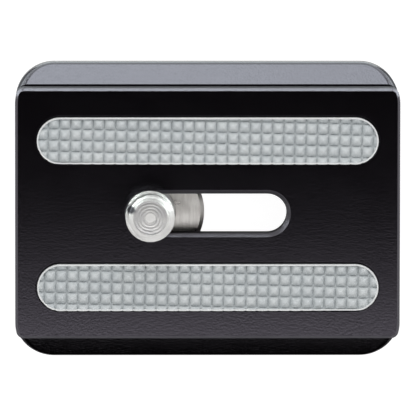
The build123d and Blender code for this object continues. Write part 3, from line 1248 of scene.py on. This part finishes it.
@dataclass
class DRing:
    """The folding wire ring: one round wire, bent, with its ends turned in to the boss.

    Attributes:
        node: The CAD node that it stands for.
        finish: Its finish.
        wire_radius: The radius of the wire.
        bend_radius: The radius of the two tight bends, to the wire's centre line.
        pin_end: How far from the middle each end stops.
        pin_break: How round the ends' edges are.
        wire_steps: How many sides the wire has.
        corner_steps: How many stretches a tight bend has.
        hoop_steps: How many stretches the wide bend has.
        smooth_below: The angle for smooth shading, in degrees.
    """

    node: str = "d_ring"
    finish: PlainSteel = PlainSteel("drawn_stainless_wire", "#cfccc8", 0.25)
    wire_radius: float = 0.7 * MM
    bend_radius: float = 1.2 * MM
    pin_end: float = 2.3 * MM
    pin_break: float = 0.15 * MM
    wire_steps: int = 24
    corner_steps: int = 14
    hoop_steps: int = 60
    smooth_below: float = 40.0

    def build(self, centre: tuple[float, float]) -> None:
        """Models the ring by drawing the wire's section along its bends.

        Args:
            centre: The X and Y of the screw's axis.
        """
        low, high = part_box(self.node)
        middle = (low.z + high.z) / 2
        radius = (high.y - low.y) / 2 - self.wire_radius
        reach = radius - self.bend_radius
        bend_y = math.sqrt(reach**2 - self.bend_radius**2)
        corner = math.pi - math.atan2(bend_y, self.bend_radius)
        bm = bmesh.new()
        start = bmesh.ops.create_circle(bm, cap_ends=True, segments=self.wire_steps, radius=self.wire_radius)
        upright = Matrix.Rotation(-math.pi / 2, 4, "X")
        place = Matrix.Translation((0, self.pin_end, 0)) @ upright
        bmesh.ops.transform(bm, matrix=place, verts=start["verts"])
        end = list(bm.edges)
        end = self.run(bm, end, bend_y - self.pin_end)
        end = self.bend(bm, end, (self.bend_radius, bend_y), corner, self.corner_steps)
        end = self.bend(bm, end, (0, 0), 2 * (math.pi - corner), self.hoop_steps)
        end = self.bend(bm, end, (self.bend_radius, -bend_y), corner, self.corner_steps)
        end = self.run(bm, end, bend_y - self.pin_end)
        bmesh.ops.contextual_create(bm, geom=end)
        caps = [face for face in bm.faces if len(face.verts) > 4]
        bmesh.ops.bevel(
            bm,
            geom=[edge for face in caps for edge in face.edges],
            offset=self.pin_break,
            segments=3,
            profile=0.5,
            affect="EDGES",
            material=-1,
        )
        bmesh.ops.translate(bm, vec=(*centre, middle), verts=bm.verts)
        piece = object_from(self.node + "_wire", bm, self.finish.build(), self.smooth_below)
        put_on(piece, Body.RING, "ring_wire", self.node)

    def run(self, bm: bmesh.types.BMesh, end: list[Any], length: float) -> list[Any]:
        """Draws the wire's end straight on along +Y.

        Args:
            bm: The wire.
            end: The edges of its open end.
            length: How far it goes.

        Returns:
            The edges of the new end.
        """
        made = bmesh.ops.extrude_edge_only(bm, edges=end)["geom"]
        verts = [part for part in made if isinstance(part, bmesh.types.BMVert)]
        bmesh.ops.translate(bm, vec=(0, length, 0), verts=verts)
        return [part for part in made if isinstance(part, bmesh.types.BMEdge)]

    def bend(
        self, bm: bmesh.types.BMesh, end: list[Any], pivot: tuple[float, float], angle: float, steps: int
    ) -> list[Any]:
        """Draws the wire's end round a pivot, clockwise from above.

        Args:
            bm: The wire.
            end: The edges of its open end.
            pivot: The X and Y of the bend's centre.
            angle: How far it turns, in radians.
            steps: How many stretches the bend has.

        Returns:
            The edges of the new end.
        """
        geom = [*{vert for edge in end for vert in edge.verts}, *end]
        made = bmesh.ops.spin(bm, geom=geom, cent=(*pivot, 0), axis=(0, 0, -1), angle=angle, steps=steps)
        return [part for part in made["geom_last"] if isinstance(part, bmesh.types.BMEdge)]


@dataclass(frozen=True)
class Lamp:
    """A soft rectangular lamp, with its size and places in millimetres.

    Attributes:
        name: The lamp's name.
        size: Its width and height.
        place: Where it hangs.
        target: What it points at.
        radiance: How bright its face is, where 1 is white.
        colour: The colour of its light.
        reach: What it lights.
        grid: The angle that a grid on it lets through, in degrees, where 180 is no grid.
    """

    name: str
    size: tuple[float, float]
    place: tuple[float, float, float]
    target: tuple[float, float, float]
    radiance: float
    colour: tuple[float, float, float] = (1.0, 1.0, 1.0)
    reach: Reach = Reach.ALL
    grid: float = 180.0

    def hang(self) -> None:
        """Hangs the lamp, with the power that gives its face its radiance."""
        width, height = self.size[0] * MM, self.size[1] * MM
        data = bpy.data.lights.new(self.name, "AREA")
        data.shape = "RECTANGLE"
        data.size, data.size_y = width, height
        data.energy = self.radiance * math.pi * width * height
        if self.grid < 180.0:
            half = math.radians(self.grid / 2)
            data.spread = 2 * half
            data.energy *= (math.tan(half) - half) / math.tan(half)
        data.color = self.colour
        lamp = bpy.data.objects.new(self.name, data)
        lamp.visible_camera = False
        lamp.visible_diffuse, lamp.visible_glossy = self.reach.value
        away = (Vector(self.place) - Vector(self.target)).normalized()
        lamp.rotation_euler = away.to_track_quat("Z", "Y").to_euler()
        lamp.location = Vector(self.place) * MM
        bpy.context.scene.collection.objects.link(lamp)


# Soft light from all round, which shows the pads' pyramids
SOFTBOXES = (
    Lamp("front_softbox", (500, 300), (0, -400, 300), (0, 0, 5), 0.8),
    Lamp("rear_softbox", (450, 250), (0, 330, 330), (0, 0, 5), 3.0, reach=Reach.MATTE),
    Lamp("top_softbox", (500, 400), (0, 60, 420), (0, 0, 5), 1.2, reach=Reach.MATTE),
    Lamp("left_softbox", (300, 300), (-400, 60, 260), (0, 0, 5), 0.4),
    Lamp("right_softbox", (300, 300), (400, 60, 260), (0, 0, 5), 0.5),
)

# What the level top mirrors, which makes it paler towards the front
TOP_GLOSS = (
    Lamp("gloss_overhead", (240, 30), (0, -42, 100), (0, -42, 0), 4.0, reach=Reach.GLOSS),
    Lamp("gloss_near", (240, 10), (0, -19.6, 100), (0, -19.6, 0), 1.0, reach=Reach.GLOSS),
)

# What the rear flank and its corners mirror. The grid keeps the middle one off the screw's tip
FLANK_GLOSS = (
    Lamp("gloss_rear", (70, 14.5), (0, 62, 7.3), (0, 0, 1.5), 11.2, COOL, Reach.GLOSS, grid=26),
    Lamp("gloss_rear_left", (60, 14.5), (-56, 44, 7.3), (-17, 11, 7.3), 9.4, COOL, Reach.GLOSS),
    Lamp("gloss_rear_right", (60, 14.5), (56, 44, 7.3), (17, 11, 7.3), 9.4, COOL, Reach.GLOSS),
)

# What the flanks' rounded lower edge mirrors, close above the table
LOW_GLOSS = (
    Lamp("gloss_low_rear", (100, 42), (0, 41, 0.3), (0, 41, 9), 3.2, COOL, Reach.GLOSS),
    Lamp("gloss_low_left", (50, 24), (-51, 13, 0.25), (-51, 13, 9), 3.2, COOL, Reach.GLOSS),
    Lamp("gloss_low_right", (50, 24), (51, 13, 0.25), (51, 13, 9), 3.2, COOL, Reach.GLOSS),
)


@dataclass
class Studio:
    """A white table, a surround that is white near the horizon, and soft lamps round the plate.

    Attributes:
        aim: What the camera looks at, in millimetres.
        distance: How far off the camera is.
        lens: Its focal length, in millimetres.
        sensor_width: Its sensor's width, in millimetres.
        tilt_back: How far it leans to the rear, in degrees.
        tilt_left: How far it leans to the left, in degrees.
        roll: How far it is turned about its own axis, in degrees.
        table_half: Half the table's width.
        table_drop: How far below the plate the table lies.
        shadow_share: How much of the table's white comes from the lamps, which the object shades.
        table_white: How bright the rest of the table's white is.
        shade_card_size: The width and depth of the black card of painted shade.
        shade_card_place: The middle of that card.
        ceiling: How dark the surround is overhead.
        lamps: The lamps.
    """

    aim: tuple[float, float, float] = (0.04, 0.75, 9.0)
    distance: float = 0.9
    lens: float = 600.0
    sensor_width: float = 36.0
    tilt_back: float = 5.3
    tilt_left: float = 0.9
    roll: float = -0.07
    table_half: float = 1.6
    table_drop: float = 0.05 * MM
    shadow_share: float = 0.25
    table_white: float = 0.95
    shade_card_size: tuple[float, float] = (58 * MM, 62 * MM)
    shade_card_place: tuple[float, float, float] = (0, -51 * MM, -0.02 * MM)
    ceiling: float = 0.02
    lamps: tuple[Lamp, ...] = SOFTBOXES + TOP_GLOSS + FLANK_GLOSS + LOW_GLOSS

    def build(self) -> None:
        """Makes the camera, the surround, the table, the black card of painted shade and the lamps."""
        self.camera()
        self.world()
        self.table()
        self.card()
        for lamp in self.lamps:
            lamp.hang()

    def camera(self) -> None:
        """Sets the camera above the plate, leaning a little to the rear and the left."""
        data = bpy.data.cameras.new("photo_camera")
        data.lens = self.lens
        data.sensor_width = self.sensor_width
        data.clip_start = 0.1
        data.clip_end = 5.0
        camera = bpy.data.objects.new("photo_camera", data)
        bpy.context.scene.collection.objects.link(camera)
        left, rear = math.radians(self.tilt_left), math.radians(self.tilt_back)
        back = Vector((-math.sin(left), math.sin(rear), math.cos(rear))).normalized()
        across = Vector((0, 1, 0)).cross(back).normalized()
        upward = back.cross(across)
        turned = Matrix((across, upward, back)).transposed().to_4x4()
        spin = Matrix.Rotation(math.radians(-self.roll), 4, "Z")
        camera.matrix_world = Matrix.Translation(Vector(self.aim) * MM + back * self.distance) @ turned @ spin
        bpy.context.scene.camera = camera
        bpy.context.scene.view_settings.view_transform = "Standard"

    def world(self) -> None:
        """Makes a surround that is white to the camera, pale at the horizon and dark overhead."""
        world = bpy.data.worlds.new("studio_world")
        bpy.context.scene.world = world
        world.use_nodes = True
        tree = world.node_tree
        tree.nodes.clear()
        direction = add_node(tree, "ShaderNodeTexCoord").outputs["Generated"]
        height = add_node(tree, "ShaderNodeSeparateXYZ", inputs={"Vector": direction}).outputs["Z"]
        share = add_node(
            tree, "ShaderNodeMapRange", inputs={"Value": height, "From Min": -1.0, "From Max": 1.0}
        ).outputs["Result"]
        dark = (self.ceiling, self.ceiling, self.ceiling, 1.0)
        # The stops are shares of the way from straight down to straight up
        sky = add_node(
            tree,
            "ShaderNodeValToRGB",
            inputs={"Fac": share},
            stops=[(0.0, WHITE), (0.62, WHITE), (0.72, dark), (1.0, dark)],
        ).outputs["Color"]
        camera_ray = add_node(tree, "ShaderNodeLightPath").outputs["Is Camera Ray"]
        seen = add_node(
            tree, "ShaderNodeMix", COLOURS, {SHARE: camera_ray, FIRST: sky, SECOND: WHITE}
        ).outputs[MIXED]
        background = add_node(tree, "ShaderNodeBackground", inputs={"Color": seen, "Strength": 1.0})
        add_node(tree, "ShaderNodeOutputWorld", inputs={"Surface": background.outputs[0]})

    def table(self) -> None:
        """Makes the white table, which keeps a faint shadow and shows nothing from below."""
        bm = bmesh.new()
        bmesh.ops.create_grid(bm, x_segments=1, y_segments=1, size=self.table_half)
        bmesh.ops.translate(bm, vec=(0, 0, -self.table_drop), verts=bm.verts)
        material = bpy.data.materials.new("white_table")
        material.use_nodes = True
        # So wide a table need not be sampled as a lamp
        material.cycles.emission_sampling = "NONE"
        tree = material.node_tree
        tree.nodes.clear()
        path = add_node(tree, "ShaderNodeLightPath")
        glow = add_node(tree, "ShaderNodeEmission", inputs={"Color": WHITE, "Strength": self.table_white})
        grey = (self.shadow_share, self.shadow_share, self.shadow_share, 1)
        lit = add_node(tree, "ShaderNodeBsdfDiffuse", inputs={"Color": grey})
        seen = add_node(tree, "ShaderNodeAddShader", inputs={0: glow.outputs[0], 1: lit.outputs[0]})
        ray = add_node(
            tree,
            "ShaderNodeMixShader",
            inputs={0: path.outputs["Is Camera Ray"], 1: glow.outputs[0], 2: seen.outputs[0]},
        )
        clear = add_node(tree, "ShaderNodeBsdfTransparent")
        below = add_node(tree, "ShaderNodeNewGeometry").outputs["Backfacing"]
        surface = add_node(
            tree, "ShaderNodeMixShader", inputs={0: below, 1: ray.outputs[0], 2: clear.outputs[0]}
        )
        add_node(tree, "ShaderNodeOutputMaterial", inputs={"Surface": surface.outputs[0]})
        linked("table", bm, material, 30)

    def card(self) -> None:
        """Lays a black card on the table in front of the plate that only its gloss can see, as painted shade.
        """
        bm = bmesh.new()
        bmesh.ops.create_grid(bm, x_segments=1, y_segments=1, size=0.5)
        bmesh.ops.scale(bm, vec=(*self.shade_card_size, 1), verts=bm.verts)
        bmesh.ops.translate(bm, vec=self.shade_card_place, verts=bm.verts)
        material = bpy.data.materials.new("black_card")
        material.use_nodes = True
        shader = material.node_tree.nodes["Principled BSDF"]
        shader.inputs["Base Color"].default_value = BLACK
        shader.inputs["Specular IOR Level"].default_value = 0.0
        card = linked("black_card", bm, material, 30)
        # The card is painted shade, which darkens the table in front of the plate in reflections
        card.visible_camera = card.visible_diffuse = card.visible_shadow = card.visible_transmission = False


def main() -> None:
    logging.basicConfig(level=logging.INFO, format="%(name)s: %(message)s")
    low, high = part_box("camera_screw")
    axis = ((low.x + high.x) / 2, (low.y + high.y) / 2)
    PlateBody().dress()
    StopScrews().dress()
    GripPads().build()
    CameraScrew().build(axis)
    ScrewWasher().build(axis)
    DRing().build(axis)
    Studio().build()


if __name__ == "__main__":
    main()
